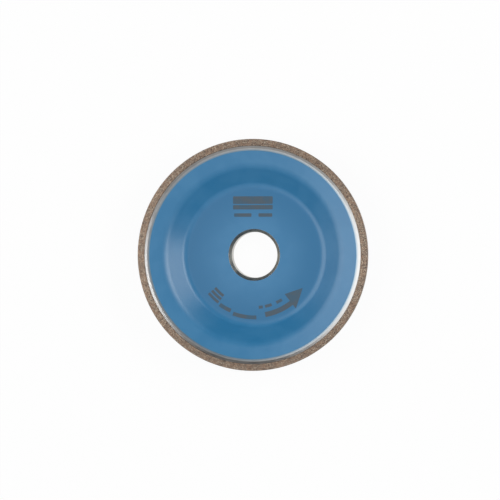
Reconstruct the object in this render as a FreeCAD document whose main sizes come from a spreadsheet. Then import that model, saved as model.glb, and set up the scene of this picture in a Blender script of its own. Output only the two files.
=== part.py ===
# Diamond cutting disc: a dished wheel whose open side faces +Z.
# A turned aluminium body, coated apart from its bore, its lip and a narrow ring, carries
# a thin rim of resin and diamond grit, which is moulded onto a seat at the body's edge.
# Frame: millimetres, +Z along the bore axis towards the open side, origin at the centre
# of the bore on the flat back face.
import FreeCAD, Part
import os
import Sketcher
from types import SimpleNamespace

# Driving sizes, in millimetres and degrees.
SIZES = {
    # The wheel as a whole
    "wheel_diameter": 100.0,
    "overall_height": 16.0,
    # The hub, which the flange clamps
    "hub_thickness": 8.0,
    "bore_diameter": 20.0,
    "bore_front_chamfer": 1.25,
    "bore_back_chamfer": 1.0,
    "floor_diameter": 61.0,
    "back_land_diameter": 66.0,
    # The dish: a steep cone up to the shoulder, then a gentle one up to the bare ring
    "shoulder_diameter": 76.8,
    "gentle_cone_angle": 12.0,
    "floor_corner_radius": 4.5,
    "shoulder_radius": 9.0,
    # The bare ring, turned through the coating and bevelled up to the rim
    "bare_ring_width": 2.0,
    "skim_depth": 0.1,
    "ring_bevel_width": 1.0,
    "ring_bevel_height": 0.45,
    # The abrasive rim
    "rim_width": 3.0,
    "rim_depth": 4.0,
    "rim_proud": 0.25,
    "rim_edge_break": 0.15,
    # The lip of the body that carries the rim, and the outside of the dish
    "lip_inset": 0.35,
    "lip_height": 0.8,
    "lip_edge_break": 0.2,
    "back_edge_break": 0.5,
    # The groove in the seat's wall that locks the moulded rim down
    "key_width": 1.0,
    "key_depth": 0.5,
}

doc = FreeCAD.newDocument("diamond_cutting_disc")
sheet = doc.addObject("Spreadsheet::Sheet", "sizes")
for row, (alias, value) in enumerate(SIZES.items(), start=1):
    sheet.set(f"A{row}", alias)
    sheet.set(f"B{row}", str(value))
    sheet.setAlias(f"B{row}", alias)
doc.recompute()

# Each driving size as it is written in an expression
size = SimpleNamespace(**{alias: f"<<sizes>>.{alias}" for alias in SIZES})

# Radii, from the bore outwards
bore_radius = f"{size.bore_diameter} / 2"
floor_radius = f"{size.floor_diameter} / 2"
back_land_radius = f"{size.back_land_diameter} / 2"
shoulder_circle = f"{size.shoulder_diameter} / 2"
wheel_radius = f"{size.wheel_diameter} / 2"
rim_inner_radius = f"({wheel_radius} - {size.rim_width})"
ring_inner_radius = f"({rim_inner_radius} - {size.bare_ring_width})"
bevel_foot_radius = f"({rim_inner_radius} - {size.ring_bevel_width})"
key_root_radius = f"({rim_inner_radius} - {size.key_depth})"
lip_radius = f"({wheel_radius} - {size.lip_inset})"

# Heights, from the back face up
seat_height = f"({size.overall_height} - {size.rim_depth})"
lip_foot_height = f"({seat_height} - {size.lip_height})"
metal_top_height = f"({size.overall_height} - {size.rim_proud})"
bevel_foot_height = f"({metal_top_height} - {size.ring_bevel_height})"
key_middle_height = f"({seat_height} + {size.rim_depth} / 2)"


def gentle_cone_height(radius):
    """Height of the bare ring's gentle slope at a radius, carried on inwards."""
    return f"({bevel_foot_height} - ({bevel_foot_radius} - {radius}) * tan({size.gentle_cone_angle}))"


ring_inner_height = gentle_cone_height(ring_inner_radius)
coating_edge_height = f"({ring_inner_height} + {size.skim_depth})"
shoulder_height = f"({gentle_cone_height(shoulder_circle)} + {size.skim_depth})"

# The shoulder's round may take up this much of the gentle cone, and no more
ROUNDED_SHARE = 0.9
steep_cone_rise = f"({shoulder_height} - {size.hub_thickness})"
steep_cone_angle = f"atan({steep_cone_rise} / ({shoulder_circle} - {floor_radius}))"
shoulder_bend = f"({steep_cone_angle} - {size.gentle_cone_angle} * 1 deg)"
gentle_run = f"({ring_inner_radius} - {shoulder_circle}) / cos({size.gentle_cone_angle})"
largest_round = f"{ROUNDED_SHARE} * {gentle_run} / tan({shoulder_bend} / 2)"
shoulder_round_radius = f"min({size.shoulder_radius}; {largest_round})"


def value_of(expression):
    return float(sheet.evalExpression(expression))


def section_sketch(body, name):
    """An empty sketch on the body's XZ plane: across is radius, up is height."""
    sketch = body.newObject("Sketcher::SketchObject", name)
    plane = next(part for part in body.Origin.OriginFeatures if part.Role == "XZ_Plane")
    sketch.AttachmentSupport = (plane, [""])
    sketch.MapMode = "FlatFace"
    return sketch


def draw_outline(sketch, corners):
    """Draw a closed outline through named corners, each tied to a radius and a height."""
    first = sketch.GeometryCount
    points = [
        FreeCAD.Vector(value_of(radius), value_of(height), 0)
        for radius, height in corners.values()
    ]
    for start, end in zip(points, points[1:] + points[:1]):
        sketch.addGeometry(Part.LineSegment(start, end), False)
    count = len(points)
    for place in range(count):
        line = first + place
        following = first + (place + 1) % count
        sketch.addConstraint(Sketcher.Constraint("Coincident", line, 2, following, 1))
    for line, (corner, (radius, height)) in enumerate(corners.items(), start=first):
        point = points[line - first]
        across = sketch.addConstraint(Sketcher.Constraint("DistanceX", -1, 1, line, 1, point.x))
        sketch.renameConstraint(across, f"{corner}_radius")
        sketch.setExpression(f"Constraints.{corner}_radius", radius)
        if height == "0":
            sketch.addConstraint(Sketcher.Constraint("PointOnObject", line, 1, -1))
            continue
        up = sketch.addConstraint(Sketcher.Constraint("DistanceY", -1, 1, line, 1, point.y))
        sketch.renameConstraint(up, f"{corner}_height")
        sketch.setExpression(f"Constraints.{corner}_height", height)


def turn(body, kind, name, sketch):
    """Turn a sketch about the wheel's axis: kind is Revolution to add, Groove to cut."""
    feature = body.newObject(f"PartDesign::{kind}", name)
    feature.Profile = sketch
    feature.ReferenceAxis = (sketch, ["V_Axis"])
    feature.Angle = 360
    doc.recompute()
    return feature


def circle_names(shape, circles):
    """Names of the full circular edges of a turned shape at given radii and heights."""
    names = []
    for radius, height in circles:
        wanted = (value_of(radius), value_of(height))
        for number, edge in enumerate(shape.Edges, start=1):
            if not isinstance(edge.Curve, Part.Circle):
                continue
            found = (edge.Curve.Radius, edge.Curve.Center.z)
            if max(abs(a - b) for a, b in zip(found, wanted)) < Part.Precision.confusion() * 100:
                names.append(f"Edge{number}")
    return names


def dress(body, kind, name, size_property, amount, circles):
    """Fillet or chamfer the body's circular edges that are named by radius and height."""
    base = body.Tip
    edges = circle_names(base.Shape, circles)
    if len(edges) != len(circles):
        raise RuntimeError(f"{name}: found {len(edges)} of {len(circles)} edges")
    feature = body.newObject(f"PartDesign::{kind}", name)
    feature.Base = (base, edges)
    feature.setExpression(size_property, amount)
    doc.recompute()
    return feature


def draw_key(sketch):
    """Outline of the vee that is cut into the seat's upright wall and filled by the rim."""
    draw_outline(sketch, {
        "key_foot": (rim_inner_radius, f"{key_middle_height} - {size.key_width} / 2"),
        "key_top": (rim_inner_radius, f"{key_middle_height} + {size.key_width} / 2"),
        "key_root": (key_root_radius, key_middle_height),
    })


def make_wheel_body():
    """The aluminium body: flat hub, steep and gentle cones, bare ring, seat and lip."""
    body = doc.addObject("PartDesign::Body", "wheel_body")
    body.Label = "wheel_body"
    section = section_sketch(body, "turned_section")
    draw_outline(section, {
        "bore_back": (bore_radius, "0"),
        "land_edge": (back_land_radius, "0"),
        "lip_foot": (lip_radius, lip_foot_height),
        "lip_edge": (lip_radius, seat_height),
        "seat_corner": (rim_inner_radius, seat_height),
        "metal_top": (rim_inner_radius, metal_top_height),
        "bevel_foot": (bevel_foot_radius, bevel_foot_height),
        "ring_inner": (ring_inner_radius, ring_inner_height),
        "coating_edge": (ring_inner_radius, coating_edge_height),
        "shoulder": (shoulder_circle, shoulder_height),
        "floor_corner": (floor_radius, size.hub_thickness),
        "bore_front": (bore_radius, size.hub_thickness),
    })
    turn(body, "Revolution", "turned_form", section)
    key_section = section_sketch(body, "key_groove_section")
    draw_key(key_section)
    turn(body, "Groove", "key_groove", key_section)
    dress(body, "Fillet", "floor_corner_fillet", "Radius", size.floor_corner_radius,
          [(floor_radius, size.hub_thickness)])
    dress(body, "Fillet", "shoulder_round", "Radius", shoulder_round_radius,
          [(shoulder_circle, shoulder_height)])
    dress(body, "Chamfer", "back_land_break", "Size", size.back_edge_break,
          [(back_land_radius, "0")])
    dress(body, "Chamfer", "bore_front_lead", "Size", size.bore_front_chamfer,
          [(bore_radius, size.hub_thickness)])
    dress(body, "Chamfer", "bore_back_lead", "Size", size.bore_back_chamfer,
          [(bore_radius, "0")])
    dress(body, "Chamfer", "lip_break", "Size", size.lip_edge_break,
          [(lip_radius, seat_height)])
    return body


def make_abrasive_rim():
    """The moulded ring of resin and diamond, with the ridge that fills the body's groove."""
    body = doc.addObject("PartDesign::Body", "abrasive_rim")
    body.Label = "abrasive_rim"
    section = section_sketch(body, "rim_section")
    draw_outline(section, {
        "seat_inner": (rim_inner_radius, seat_height),
        "seat_outer": (wheel_radius, seat_height),
        "face_outer": (wheel_radius, size.overall_height),
        "face_inner": (rim_inner_radius, size.overall_height),
    })
    turn(body, "Revolution", "rim_ring", section)
    key_section = section_sketch(body, "key_ridge_section")
    draw_key(key_section)
    turn(body, "Revolution", "key_ridge", key_section)
    dress(body, "Chamfer", "rim_breaks", "Size", size.rim_edge_break, [
        (wheel_radius, seat_height),
        (wheel_radius, size.overall_height),
        (rim_inner_radius, size.overall_height),
    ])
    return body


sub_parts = [make_wheel_body(), make_abrasive_rim()]
doc.recompute()
for item in doc.Objects:
    if "Invalid" in item.State or "Error" in item.State:
        raise RuntimeError(f"{item.Name} failed: {item.State}")
for sub_part in sub_parts:
    shape = sub_part.Shape
    if shape.isNull() or not shape.isValid() or len(shape.Solids) != 1:
        raise RuntimeError(f"{sub_part.Label} isn't one valid solid")
os.makedirs("parts", exist_ok=True)
for sub_part in sub_parts:
    sub_part.Shape.exportStep(f"parts/{sub_part.Label}.step")
    print(sub_part.Label, "volume", round(sub_part.Shape.Volume, 1), "mm3,", sub_part.Shape.BoundBox)
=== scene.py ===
import math

import bpy
from mathutils import Matrix, Vector, noise


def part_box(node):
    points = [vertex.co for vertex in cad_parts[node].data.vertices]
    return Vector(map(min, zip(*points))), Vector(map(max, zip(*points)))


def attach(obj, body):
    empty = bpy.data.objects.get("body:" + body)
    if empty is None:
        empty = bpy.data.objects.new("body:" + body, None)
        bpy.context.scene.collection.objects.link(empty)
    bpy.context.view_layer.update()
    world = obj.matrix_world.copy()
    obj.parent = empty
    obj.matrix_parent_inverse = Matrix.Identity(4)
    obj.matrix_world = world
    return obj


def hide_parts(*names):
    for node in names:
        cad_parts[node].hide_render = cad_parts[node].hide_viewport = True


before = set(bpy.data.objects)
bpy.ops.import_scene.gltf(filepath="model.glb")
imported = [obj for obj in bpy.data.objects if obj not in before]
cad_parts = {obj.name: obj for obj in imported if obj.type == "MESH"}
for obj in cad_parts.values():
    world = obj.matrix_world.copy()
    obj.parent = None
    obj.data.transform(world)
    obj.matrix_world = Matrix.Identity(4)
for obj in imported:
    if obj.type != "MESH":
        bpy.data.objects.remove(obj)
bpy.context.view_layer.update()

MM = 0.001

# Wheel body
# One aluminium blank, turned all over: a flat hub, a steep cone and a gentle cone that
# open towards the rim, and a lip under the rim. It is coated blue. The bore, the lip and
# a narrow ring beside the rim are turned bare again after the coating.
_, body_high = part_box("wheel_body")
_, rim_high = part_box("abrasive_rim")
lip_radius = body_high.x
metal_top = body_high.z
wheel_radius = rim_high.x
rim_face_height = rim_high.z

hub_thickness = 8.0 * MM
bore_radius = 10.0 * MM
bore_front_chamfer = 1.25 * MM
bore_back_chamfer = 1.0 * MM
floor_radius = 30.5 * MM
back_land_radius = 33.0 * MM
shoulder_circle = 38.4 * MM
gentle_slope = math.tan(math.radians(12))
skim_depth = 0.1 * MM

rim_width = 3.0 * MM
rim_depth = 4.0 * MM
rim_inner_radius = wheel_radius - rim_width
seat_height = rim_face_height - rim_depth
key_middle = (seat_height + rim_face_height) / 2
key_width = 1.0 * MM
key_depth = 0.5 * MM

ring_width = 2.0 * MM
bevel_width = 1.0 * MM
bevel_rise = 0.45 * MM
ring_inner_radius = rim_inner_radius - ring_width
bevel_foot_radius = rim_inner_radius - bevel_width
bevel_foot_height = metal_top - bevel_rise
lip_thickness = 0.8 * MM
lip_foot_height = seat_height - lip_thickness
lip_edge_break = 0.2 * MM

floor_corner_round = 4.5 * MM
shoulder_round = 9.0 * MM
back_land_round = 1.5 * MM
broken_edge = 0.06 * MM
hidden_edge = 0.02 * MM
wide_round_step = math.radians(2.5)
broken_edge_step = math.radians(30)
body_turning_steps = 480
COATED, BARE, BORED = 0, 1, 2


def gentle_height(radius):
    """Height of the bare ring's gentle slope at a radius, carried on inwards."""
    return bevel_foot_height - (bevel_foot_radius - radius) * gentle_slope


def seat_corners(finish):
    """The rim's seat from its inner corner to the top of its wall, with the key groove."""
    return [
        (rim_inner_radius, seat_height, hidden_edge, finish),
        (rim_inner_radius, key_middle - key_width / 2, hidden_edge, finish),
        (rim_inner_radius - key_depth, key_middle, hidden_edge, finish),
        (rim_inner_radius, key_middle + key_width / 2, hidden_edge, finish),
    ]


def round_corners(corners):
    """Follow a closed outline with each corner as an arc, finer on the wide rounds.

    A corner is (radius, height, rounding, finish of the run that leaves it). The rows that
    come back are (radius, height, normal across, normal up, finish).
    """
    rows = []
    for place, (radius, height, rounding, finish) in enumerate(corners):
        corner = Vector((radius, height))
        before = Vector(corners[place - 1][:2])
        after = Vector(corners[(place + 1) % len(corners)][:2])
        arriving = (corner - before).normalized()
        leaving = (after - corner).normalized()
        bend = math.atan2(arriving.cross(leaving), arriving.dot(leaving))
        side = math.copysign(1, bend)
        start = corner - arriving * rounding * math.tan(abs(bend) / 2)
        first_normal = Vector((arriving.y, -arriving.x))
        centre = start - first_normal * rounding * side
        widest_step = broken_edge_step if rounding <= broken_edge else wide_round_step
        steps = max(2, math.ceil(abs(bend) / widest_step))
        for step in range(steps + 1):
            normal = Matrix.Rotation(bend * step / steps, 2) @ first_normal
            point = centre + normal * rounding * side
            rows.append((point.x, point.y, normal.x, normal.y, finish))
    return rows


def turned_piece(name, rows, steps, finishes, depth_at=None):
    """A mesh of the outline's rows turned about +Z, with a material for each finish.

    It is shaded by the outline's own normals. With depth_at, each point is pressed in by the
    depth that it gives there instead, and the shading follows the mesh.
    """
    verts, normals, faces, finish_of_face = [], [], [], []
    count = len(rows)
    for step in range(steps):
        turn = Matrix.Rotation(math.tau * step / steps, 3, "Z")
        here = step * count
        there = (step + 1) % steps * count
        for place, (radius, height, across, up, finish) in enumerate(rows):
            following = (place + 1) % count
            point = turn @ Vector((radius, 0, height))
            normal = turn @ Vector((across, 0, up))
            verts.append(point - normal * depth_at(point) if depth_at else point)
            normals.append(normal)
            faces.append((here + place, there + place, there + following, here + following))
            finish_of_face.append(finish)
    mesh = bpy.data.meshes.new(name)
    mesh.from_pydata(verts, [], faces)
    for finish in finishes:
        mesh.materials.append(finish)
    mesh.polygons.foreach_set("material_index", finish_of_face)
    mesh.polygons.foreach_set("use_smooth", [True] * len(faces))
    if not depth_at:
        mesh.normals_split_custom_set_from_vertices(normals)
    piece = bpy.data.objects.new(name, mesh)
    bpy.context.scene.collection.objects.link(piece)
    return piece


class Socket:
    """A node's output. Arithmetic on it adds Math nodes, and node() adds any other node."""

    def __init__(self, output):
        self.output = output
        self.tree = output.id_data

    def node(self, kind, settings, inputs, output=0):
        """Add a node: its settings first, then the values or links of its sockets."""
        added = self.tree.nodes.new(kind)
        for name, value in settings.items():
            setattr(added, name, value)
        for name, value in inputs.items():
            socket = added.inputs[name]
            if isinstance(value, Socket):
                self.tree.links.new(value.output, socket)
            else:
                socket.default_value = (*value, 1) if socket.type == "RGBA" else value
        return Socket(added.outputs[output])

    def sibling(self, name):
        """Another output of the same node."""
        return Socket(self.output.node.outputs[name])

    def into(self, shader, name):
        """Link the value to one of a shader's inputs."""
        self.tree.links.new(self.output, shader.inputs[name])

    def maths(self, operation, first, second):
        """A Math node on two values, either of which may be a number."""
        return self.node("ShaderNodeMath", {"operation": operation}, {0: first, 1: second})

    def __add__(self, other):
        return self.maths("ADD", self, other)

    __radd__ = __add__

    def __sub__(self, other):
        return self.maths("SUBTRACT", self, other)

    def __rsub__(self, other):
        return self.maths("SUBTRACT", other, self)

    def __mul__(self, other):
        return self.maths("MULTIPLY", self, other)

    __rmul__ = __mul__

    def __pow__(self, other):
        return self.maths("POWER", self, other)

    def rise(self, low, high):
        """0 where the value is under low, 1 where it is over high, smooth between."""
        inputs = {"Value": self, "From Min": low, "From Max": high}
        return self.node("ShaderNodeMapRange", {"interpolation_type": "SMOOTHSTEP"}, inputs)

    def blend(self, colour, other):
        """From one colour to the other as the value goes from 0 to 1."""
        return self.node("ShaderNodeMix", {"data_type": "RGBA"}, {0: self, 6: colour, 7: other}, 2)


def new_finish(name, **constants):
    """A material with constant shader inputs, its shader, and the place on the piece."""
    material = bpy.data.materials.new(name)
    material.use_nodes = True
    shader = material.node_tree.nodes["Principled BSDF"]
    for words, value in constants.items():
        shader.inputs[words.replace("_", " ").title().replace("Ior", "IOR")].default_value = value
    place = Socket(material.node_tree.nodes.new("ShaderNodeTexCoord").outputs["Object"])
    return material, shader, place


def cloud(place, size, detail=2.0):
    """Soft noise whose patches are about the given size across."""
    inputs = {"Vector": place, "Scale": 1 / size, "Detail": detail}
    return place.node("ShaderNodeTexNoise", {}, inputs)


def axis_distance(place):
    """How far a place on the piece is from the wheel's axis."""
    across = place.node("ShaderNodeSeparateXYZ", {}, {"Vector": place})
    along = across.sibling("Y")
    return (across * across + along * along) ** 0.5


def turning_marks(place, pitch):
    """Fine rings that a lathe tool leaves: noise that changes with radius and height only."""
    height = place.node("ShaderNodeSeparateXYZ", {}, {"Vector": place}).sibling("Z")
    inputs = {"W": (axis_distance(place) + height) * (1 / pitch), "Scale": 1.0, "Detail": 1.5}
    return place.node("ShaderNodeTexNoise", {"noise_dimensions": "1D"}, inputs)


def half_and_half(pattern, other):
    """The mean of two patterns."""
    return pattern * 0.5 + other * 0.5


def bumped(height, distance):
    """A normal that follows a pattern from 0 to 1, which stands for the given height."""
    return height.node("ShaderNodeBump", {}, {"Height": height, "Distance": distance})


middle_of_noise = (0.35, 0.65)

coat_blue = (0.029, 0.198, 0.405)
coat_blue_thin = (0.039, 0.214, 0.425)
# The darkest blue is painted shade on the hub floor.
coat_blue_painted_shade = (0.006, 0.151, 0.333)
coat_roughness = 0.31
coat_roughness_spread = 0.08
coat_relief = 0.004 * MM
floor_shade_start_radius = 9 * MM
floor_shade_full_radius = 28 * MM
floor_shade_end_radius = floor_radius + 1 * MM
blue_coating, shader, place = new_finish("blue_coating", specular_ior_level=0.75)
patches = cloud(place, size=9 * MM)
peel = cloud(place, size=0.9 * MM)
rings = turning_marks(place, pitch=0.35 * MM)
from_axis = axis_distance(place)
# Painted shade: the hub floor's coat is painted darker from 9 mm out, deepest at 28 mm, and back to
# plain by the floor's corner.
painted_floor_shade = from_axis.rise(floor_shade_start_radius, floor_shade_full_radius)
painted_floor_shade = painted_floor_shade - from_axis.rise(floor_shade_full_radius, floor_shade_end_radius)
coat_tone = patches.rise(*middle_of_noise).blend(coat_blue, coat_blue_thin)
painted_floor_shade.blend(coat_tone, coat_blue_painted_shade).into(shader, "Base Color")
(coat_roughness + coat_roughness_spread * patches).into(shader, "Roughness")
bumped(half_and_half(rings, peel), coat_relief).into(shader, "Normal")

# Painted shade: towards the coating the bare ring is painted darker and bluish, which dims its
# highlight there.
turned_metal = (0.53, 0.525, 0.515)
turned_metal_dull = (0.44, 0.44, 0.435)
ring_metal_painted_shade = (0.19, 0.31, 0.405)
ring_shade_inner_radius = ring_inner_radius - 0.3 * MM
ring_shade_outer_radius = bevel_foot_radius + 0.2 * MM
turned_roughness = 0.26
turned_roughness_spread = 0.14
turned_relief = 0.006 * MM
bare_aluminium, shader, place = new_finish("bare_aluminium", metallic=1.0)
grooves = turning_marks(place, pitch=0.12 * MM)
stains = cloud(place, size=3 * MM)
worn = half_and_half(stains, grooves).rise(*middle_of_noise)
metal_tone = worn.blend(turned_metal_dull, turned_metal)
beside_rim = axis_distance(place).rise(ring_shade_inner_radius, ring_shade_outer_radius)
beside_rim.blend(ring_metal_painted_shade, metal_tone).into(shader, "Base Color")
(turned_roughness + turned_roughness_spread * stains).into(shader, "Roughness")
bumped(grooves, turned_relief).into(shader, "Normal")

# Painted shade: the bore is the same turned aluminium as the ring, set darker and yellower so that
# its walls and chamfers look dim.
shaded_bore_metal = (0.50, 0.485, 0.43)
shaded_bore_metal_dull = (0.38, 0.37, 0.34)
bore_roughness = 0.22
bore_roughness_spread = 0.16
bore_relief = 0.005 * MM
shaded_bore, shader, place = new_finish("shaded_bore", metallic=1.0)
grooves = turning_marks(place, pitch=0.15 * MM)
stains = cloud(place, size=2 * MM)
stains.rise(*middle_of_noise).blend(shaded_bore_metal_dull, shaded_bore_metal).into(shader, "Base Color")
(bore_roughness + bore_roughness_spread * stains).into(shader, "Roughness")
bumped(grooves, bore_relief).into(shader, "Normal")

body_outline = round_corners([
    (bore_radius, bore_back_chamfer, broken_edge, BORED),
    (bore_radius + bore_back_chamfer, 0, broken_edge, COATED),
    (back_land_radius, 0, back_land_round, COATED),
    (lip_radius, lip_foot_height, broken_edge, BARE),
    (lip_radius, seat_height - lip_edge_break, broken_edge, BARE),
    (lip_radius - lip_edge_break, seat_height, broken_edge, BARE),
    *seat_corners(BARE),
    (rim_inner_radius, metal_top, broken_edge, BARE),
    (bevel_foot_radius, bevel_foot_height, broken_edge, BARE),
    (ring_inner_radius, gentle_height(ring_inner_radius), hidden_edge, BARE),
    (ring_inner_radius, gentle_height(ring_inner_radius) + skim_depth, hidden_edge, COATED),
    (shoulder_circle, gentle_height(shoulder_circle) + skim_depth, shoulder_round, COATED),
    (floor_radius, hub_thickness, floor_corner_round, COATED),
    (bore_radius + bore_front_chamfer, hub_thickness, broken_edge, BORED),
    (bore_radius, hub_thickness - bore_front_chamfer, broken_edge, BORED),
])
body = turned_piece(
    "dished_body", body_outline, body_turning_steps, [blue_coating, bare_aluminium, shaded_bore]
)
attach(body, "root")
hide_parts("wheel_body")

# Abrasive rim
# Brown resin filled with diamond grit, moulded into the seat and its key groove and then
# ground true with the bore. Its ground faces show the grit as small bumps and pits.
rim_edge_break = 0.15 * MM
grain_spacing = 0.28 * MM
rim_turning_steps = round(math.tau * wheel_radius / grain_spacing)
GROUND, SEATED = 0, 1

fine_wave = 0.45 * MM
wide_wave = 1.3 * MM
wide_wave_share = 0.6
pit_size = 0.6 * MM
pit_shift = Vector((9, 4, 2))
pit_threshold = 0.35
grinding_depth = 0.014 * MM
wave_depth = 0.008 * MM
pit_depth = 0.06 * MM


def fill_runs(rows, spacing):
    """Add evenly spaced rows on the long runs of an outline whose finish is GROUND."""
    filled = []
    for row, following in zip(rows, rows[1:] + rows[:1]):
        length = math.dist(row[:2], following[:2])
        parts = max(1, round(length / spacing)) if row[4] == GROUND else 1
        for part in range(parts):
            share = part / parts
            filled.append((*(a + (b - a) * share for a, b in zip(row[:4], following[:4])), row[4]))
    return filled


def grain_depth(point):
    """How far the ground surface lies under the trued faces at a point on the rim."""
    if point.z < seat_height or point.xy.length < rim_inner_radius:
        return 0
    waves = noise.noise(point / fine_wave) + wide_wave_share * noise.noise(point / wide_wave)
    pit = max(0, noise.noise(point / pit_size + pit_shift) - pit_threshold)
    return grinding_depth + wave_depth * waves + pit_depth * pit


bond_brown = (0.305, 0.202, 0.140)
bond_grey = (0.228, 0.168, 0.128)
pale_grit = (0.46, 0.39, 0.30)
dark_grit = (0.06, 0.05, 0.045)
bond_patches = (0.3, 0.7)
grit_size = 0.24 * MM
dark_grit_chances = (0.10, 0.16)
pale_grit_chances = (0.80, 0.86)
bond_roughness = 0.47
pale_grit_gloss = 0.17
fine_grain_share = 0.25
bond_relief = 0.09 * MM
diamond_bond, shader, place = new_finish("diamond_bond", metallic=0.6)
grains = place.node("ShaderNodeTexVoronoi", {}, {"Vector": place, "Scale": 1 / grit_size}, "Color")
chance = place.node("ShaderNodeSeparateColor", {}, {"Color": grains})
dark_or_rest = chance.rise(*dark_grit_chances)
pale = chance.rise(*pale_grit_chances)
bond_tone = cloud(place, size=2.2 * MM, detail=3.0).rise(*bond_patches).blend(bond_grey, bond_brown)
dark_or_rest.blend(dark_grit, pale.blend(bond_tone, pale_grit)).into(shader, "Base Color")
(bond_roughness - pale_grit_gloss * pale).into(shader, "Roughness")
ground_rings = turning_marks(place, pitch=0.22 * MM)
fine_grain = cloud(place, size=0.12 * MM, detail=3.0)
bumped(ground_rings + fine_grain * fine_grain_share, bond_relief).into(shader, "Normal")

# The seated faces are of the same bond as the ground ones, so both finishes share it.
rim_outline = round_corners([
    (wheel_radius, seat_height + rim_edge_break, broken_edge, GROUND),
    (wheel_radius, rim_face_height - rim_edge_break, broken_edge, GROUND),
    (wheel_radius - rim_edge_break, rim_face_height, broken_edge, GROUND),
    (rim_inner_radius + rim_edge_break, rim_face_height, broken_edge, GROUND),
    (rim_inner_radius, rim_face_height - rim_edge_break, broken_edge, SEATED),
    *reversed(seat_corners(SEATED)),
    (wheel_radius - rim_edge_break, seat_height, broken_edge, SEATED),
])
rim = turned_piece(
    "diamond_rim",
    fill_runs(rim_outline, grain_spacing),
    rim_turning_steps,
    [diamond_bond, diamond_bond],
    grain_depth,
)
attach(rim, "root")
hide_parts("abrasive_rim")

# Printed marks
# Grey ink, pad printed on the hub floor: plain bars above the bore, and below it a curved
# arrow for the direction of turning, short dashes inside it, and bars bent round the bore.
ink_thickness = 0.02 * MM
ink_grip = 0.005 * MM

ink_grey = (0.076, 0.108, 0.138)
ink_grey_thin = (0.050, 0.110, 0.168)
ink_patches = (0.3, 0.6)
ink_roughness = 0.5
ink_roughness_spread = 0.15
ink_relief = 0.004 * MM
marking_ink, shader, place = new_finish("marking_ink", specular_ior_level=0.4)
coverage = cloud(place, size=5.0 * MM, detail=4.0)
coverage.rise(*ink_patches).blend(ink_grey_thin, ink_grey).into(shader, "Base Color")
(ink_roughness + ink_roughness_spread * coverage).into(shader, "Roughness")
bumped(coverage, ink_relief).into(shader, "Normal")


def printed(name, outlines):
    """A film of ink on the hub floor, in the shape of closed outlines seen from above."""
    verts, faces = [], []
    for outline in outlines:
        base = len(verts)
        count = len(outline)
        verts += [(x, y, hub_thickness - ink_grip) for x, y in outline]
        verts += [(x, y, hub_thickness + ink_thickness) for x, y in outline]
        faces.append(tuple(range(base + count - 1, base - 1, -1)))
        faces.append(tuple(range(base + count, base + 2 * count)))
        for place_on_edge in range(count):
            following = (place_on_edge + 1) % count
            low, low_next = base + place_on_edge, base + following
            faces.append((low, low_next, low_next + count, low + count))
    mesh = bpy.data.meshes.new(name)
    mesh.from_pydata(verts, [], faces)
    mesh.materials.append(marking_ink)
    piece = bpy.data.objects.new(name, mesh)
    bpy.context.scene.collection.objects.link(piece)
    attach(piece, "root")


def rounded_bar(middle, size, rounding):
    """Outline of a bar with round corners, anticlockwise from its right side."""
    corner_steps = 6
    half = Vector(size) / 2 - Vector((rounding, rounding))
    outline = []
    for quarter, (right, up) in enumerate(((1, 1), (-1, 1), (-1, -1), (1, -1))):
        for step in range(corner_steps + 1):
            angle = math.radians(90) * (quarter + step / corner_steps)
            outline.append((
                middle[0] + right * half.x + rounding * math.cos(angle),
                middle[1] + up * half.y + rounding * math.sin(angle),
            ))
    return outline


def clock_point(radius, clock):
    """The point at a radius and at an angle in degrees, clockwise from the top."""
    angle = math.radians(90 - clock)
    return (radius * math.cos(angle), radius * math.sin(angle))


def curved_bar(radius, width, first_clock, last_clock):
    """Outline of a bar bent round the bore, from one clock angle to another."""
    degrees_in_a_step = 3
    sweep = last_clock - first_clock
    steps = max(2, round(sweep / degrees_in_a_step))
    clocks = [first_clock + sweep * step / steps for step in range(steps + 1)]
    inner = [clock_point(radius - width / 2, clock) for clock in clocks]
    outer = [clock_point(radius + width / 2, clock) for clock in clocks]
    return inner + outer[::-1]


def arrow_head(radius, width, foot_clock, tip_clock):
    """The three corners that follow a curved bar's outline where it ends in an arrow."""
    return [
        clock_point(radius + width / 2, foot_clock),
        clock_point(radius, tip_clock),
        clock_point(radius - width / 2, foot_clock),
    ]


printed("printed_panel", [
    rounded_bar(middle=(-0.6 * MM, 23.8 * MM), size=(17.4 * MM, 3.3 * MM), rounding=0.4 * MM),
    rounded_bar(middle=(-0.6 * MM, 20.7 * MM), size=(17.4 * MM, 1.9 * MM), rounding=0.3 * MM),
])
printed("printed_bars", [
    rounded_bar(middle=(-5.0 * MM, 17.3 * MM), size=(7.6 * MM, 1.5 * MM), rounding=0.3 * MM),
    rounded_bar(middle=(4.9 * MM, 17.3 * MM), size=(6.0 * MM, 1.5 * MM), rounding=0.3 * MM),
])
arrow_foot_clock = 142
printed("printed_arrow", [
    curved_bar(radius=26.4 * MM, width=2.2 * MM, first_clock=arrow_foot_clock, last_clock=169.5)
    + arrow_head(radius=25.6 * MM, width=8.0 * MM, foot_clock=arrow_foot_clock, tip_clock=124)
])
dash_radius = 22.9 * MM
dash_width = 1.3 * MM
dash_clocks = ((148, 155), (160.5, 168), (170.5, 175))
printed("printed_dashes", [
    curved_bar(dash_radius, dash_width, first, last) for first, last in dash_clocks
])
arc_width = 1.7 * MM
printed("printed_arc", [
    curved_bar(radius=27.2 * MM, width=arc_width, first_clock=178, last_clock=200),
    curved_bar(radius=26.4 * MM, width=arc_width, first_clock=203, last_clock=215),
])
block_radii = (22.4 * MM, 24.2 * MM, 26.0 * MM)
printed("printed_block", [
    curved_bar(radius, width=1.2 * MM, first_clock=217, last_clock=230) for radius in block_radii
])

# Floor
# A plain white sheet that the wheel lies on, a hair under the back face so that the two
# don't show through each other. The camera and reflections see it as white paper, and it
# keeps a share of the wheel's shadow.
sheet_half = 3.0
hair_gap = 0.02 * MM
paper_white = (0.92, 0.92, 0.92)
share_of_plain_white = 0.95

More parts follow.
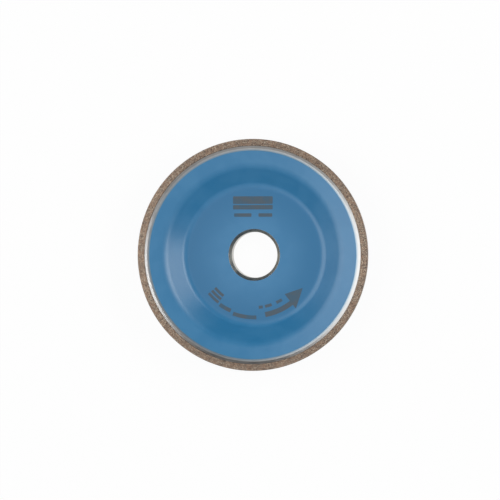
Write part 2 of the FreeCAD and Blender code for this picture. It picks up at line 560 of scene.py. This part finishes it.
floor_mesh = bpy.data.meshes.new("floor")
floor_mesh.from_pydata(
    [(x * sheet_half, y * sheet_half, -hair_gap) for x, y in ((-1, -1), (1, -1), (1, 1), (-1, 1))],
    [],
    [(0, 1, 2, 3)],
)
floor = bpy.data.objects.new("floor", floor_mesh)
bpy.context.scene.collection.objects.link(floor)

paper = bpy.data.materials.new("paper")
paper.use_nodes = True
paper.node_tree.nodes.clear()
ray = Socket(paper.node_tree.nodes.new("ShaderNodeLightPath").outputs["Is Camera Ray"])
lit = ray.node("ShaderNodeBsdfDiffuse", {}, {"Color": paper_white})
plain = ray.node("ShaderNodeEmission", {}, {"Color": (1, 1, 1), "Strength": 1.0})
seen = ray.maths("MAXIMUM", ray, ray.sibling("Is Glossy Ray"))
seen = ray.maths("MAXIMUM", seen, ray.sibling("Is Transmission Ray"))
surface = ray.node("ShaderNodeMixShader", {}, {0: seen * share_of_plain_white, 1: lit, 2: plain})
surface.into(paper.node_tree.nodes.new("ShaderNodeOutputMaterial"), "Surface")
floor_mesh.materials.append(paper)

# Camera
# It looks down on the open side, leaning a little towards +X, with +Y up in the picture.
# The aim puts the middle of the rim where it stands in the photo.
lean = math.radians(7.5)
camera_distance = 0.9
picture_pixels = 500
picture_width = 215.9 * MM
rim_centre_in_picture = (252.41, 254.87)

to_camera = Vector((math.sin(lean), 0, math.cos(lean)))
picture_right = Vector((math.cos(lean), 0, -math.sin(lean)))
picture_up = Vector((0, 1, 0))
pixel = picture_width / picture_pixels
rim_centre = Vector((0, 0, (seat_height + rim_face_height) / 2))
aim = (
    rim_centre
    - picture_right * (rim_centre_in_picture[0] - picture_pixels / 2) * pixel
    + picture_up * (rim_centre_in_picture[1] - picture_pixels / 2) * pixel
)
camera_data = bpy.data.cameras.new("camera")
camera_data.sensor_width = 36
camera_data.lens = camera_data.sensor_width * camera_distance / picture_width
camera = bpy.data.objects.new("camera", camera_data)
camera.matrix_world = Matrix.Translation(aim + to_camera * camera_distance) @ Matrix(
    (picture_right, picture_up, to_camera)
).transposed().to_4x4()
bpy.context.scene.collection.objects.link(camera)
bpy.context.scene.camera = camera

# Lights
# Two soft boxes stand to the left and right of the camera, the right one narrower and
# brighter. The room is pale overhead and low on the left, and darker past the picture's top
# and right.
box_distance = 1.3


def soft_box(name, off_axis, clock, size, radiance):
    """A rectangular lamp that faces the wheel, off_axis degrees from the camera's line.

    The clock angle says to which side of that line it stands, as seen in the picture.
    """
    lamp = bpy.data.lights.new(name, "AREA")
    lamp.shape = "RECTANGLE"
    lamp.size, lamp.size_y = size
    lamp.energy = radiance * math.pi * lamp.size * lamp.size_y
    off_line = math.radians(off_axis)
    around = math.radians(clock)
    sideways = picture_right * math.sin(around) + picture_up * math.cos(around)
    direction = to_camera * math.cos(off_line) + sideways * math.sin(off_line)
    box = bpy.data.objects.new(name, lamp)
    box.location = direction * box_distance
    box.rotation_euler = direction.to_track_quat("Z", "Y").to_euler()
    bpy.context.scene.collection.objects.link(box)


soft_box("left_box", off_axis=51, clock=278, size=(1.15, 1.25), radiance=1.80)
soft_box("right_box", off_axis=44, clock=73, size=(1.05, 0.50), radiance=5.2)

# Each pair of limits is where the room's tone starts and ends to change along +Z, +Y, +X or
# -X of the unit direction.
wall_strength = 0.066
overhead_strength = 0.704
overhead_limits = (0.3, 0.95)
top_shade = 0.78
top_limits = (0.05, 0.40)
right_shade = 0.35
right_limits = (0.0, 0.35)
left_wall_strength = 0.3
left_wall_limits = (0.6, 1.0)

room = bpy.data.worlds.new("room")
room.use_nodes = True
room.node_tree.nodes.clear()
direction = Socket(room.node_tree.nodes.new("ShaderNodeTexCoord").outputs["Generated"])
rightward = direction.node("ShaderNodeSeparateXYZ", {}, {"Vector": direction})
upward_in_picture = rightward.sibling("Y")
overhead = rightward.sibling("Z").rise(*overhead_limits)
glow = wall_strength + overhead_strength * overhead
glow = glow * (1 - top_shade * upward_in_picture.rise(*top_limits))
glow = glow * (1 - right_shade * rightward.rise(*right_limits))
glow = glow + left_wall_strength * (0 - rightward).rise(*left_wall_limits)
ray = Socket(room.node_tree.nodes.new("ShaderNodeLightPath").outputs["Is Camera Ray"])
strength = ray + (1 - ray) * glow
sky = ray.node("ShaderNodeBackground", {}, {"Color": (1, 1, 1), "Strength": strength})
sky.into(room.node_tree.nodes.new("ShaderNodeOutputWorld"), "Surface")
bpy.context.scene.world = room
bpy.context.scene.view_settings.view_transform = "Standard"
